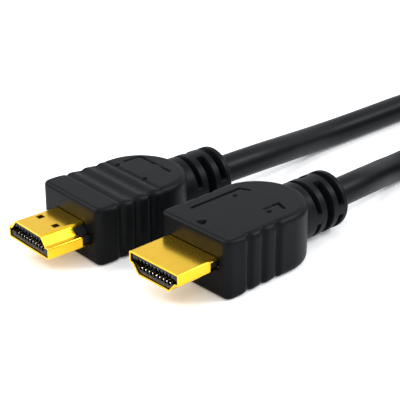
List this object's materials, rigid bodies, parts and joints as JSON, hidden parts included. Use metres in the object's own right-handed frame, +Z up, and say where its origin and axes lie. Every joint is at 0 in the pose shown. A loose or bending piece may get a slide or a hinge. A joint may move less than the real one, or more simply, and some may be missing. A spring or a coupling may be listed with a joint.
{
  "type": "audio and video cable",
  "caption": "Round black cable with the same flat, gold plated plug and ribbed moulded grip on both ends, its length wound into a round coil.",
  "frame": {"origin": "centre of the two plugs' footprint, on the surface that they lie on", "axes": "+Z up. The plugs point towards -X and -Y, about 42 degrees from -X, and the cable runs back towards +X and +Y"},
  "size_m": [0.1877, 0.1095, 0.0253],
  "materials": {
    "moulding": "satin moulded black plastic",
    "shell": "bright gold plating on folded sheet metal",
    "carrier": "matte black plastic",
    "contacts": "gold plated spring strip",
    "jacket": "satin black cable jacket"
  },
  "bodies": {
    "root": {"left_grip": "moulding", "left_shell": "shell", "left_carrier": "carrier", "left_contact_01": "contacts", "left_contact_02": "contacts", "left_contact_03": "contacts", "left_contact_04": "contacts", "left_contact_05": "contacts", "left_contact_06": "contacts", "left_contact_07": "contacts", "left_contact_08": "contacts", "left_contact_09": "contacts", "left_contact_10": "contacts", "left_contact_11": "contacts", "left_contact_12": "contacts", "left_contact_13": "contacts", "left_contact_14": "contacts", "left_contact_15": "contacts", "left_contact_16": "contacts", "left_contact_17": "contacts", "left_contact_18": "contacts", "left_contact_19": "contacts", "right_grip": "moulding", "right_shell": "shell", "right_carrier": "carrier", "right_contact_01": "contacts", "right_contact_02": "contacts", "right_contact_03": "contacts", "right_contact_04": "contacts", "right_contact_05": "contacts", "right_contact_06": "contacts", "right_contact_07": "contacts", "right_contact_08": "contacts", "right_contact_09": "contacts", "right_contact_10": "contacts", "right_contact_11": "contacts", "right_contact_12": "contacts", "right_contact_13": "contacts", "right_contact_14": "contacts", "right_contact_15": "contacts", "right_contact_16": "contacts", "right_contact_17": "contacts", "right_contact_18": "contacts", "right_contact_19": "contacts", "cable_left": "jacket", "cable_right": "jacket", "cable_coil": "jacket"}
  },
  "joints": []
}
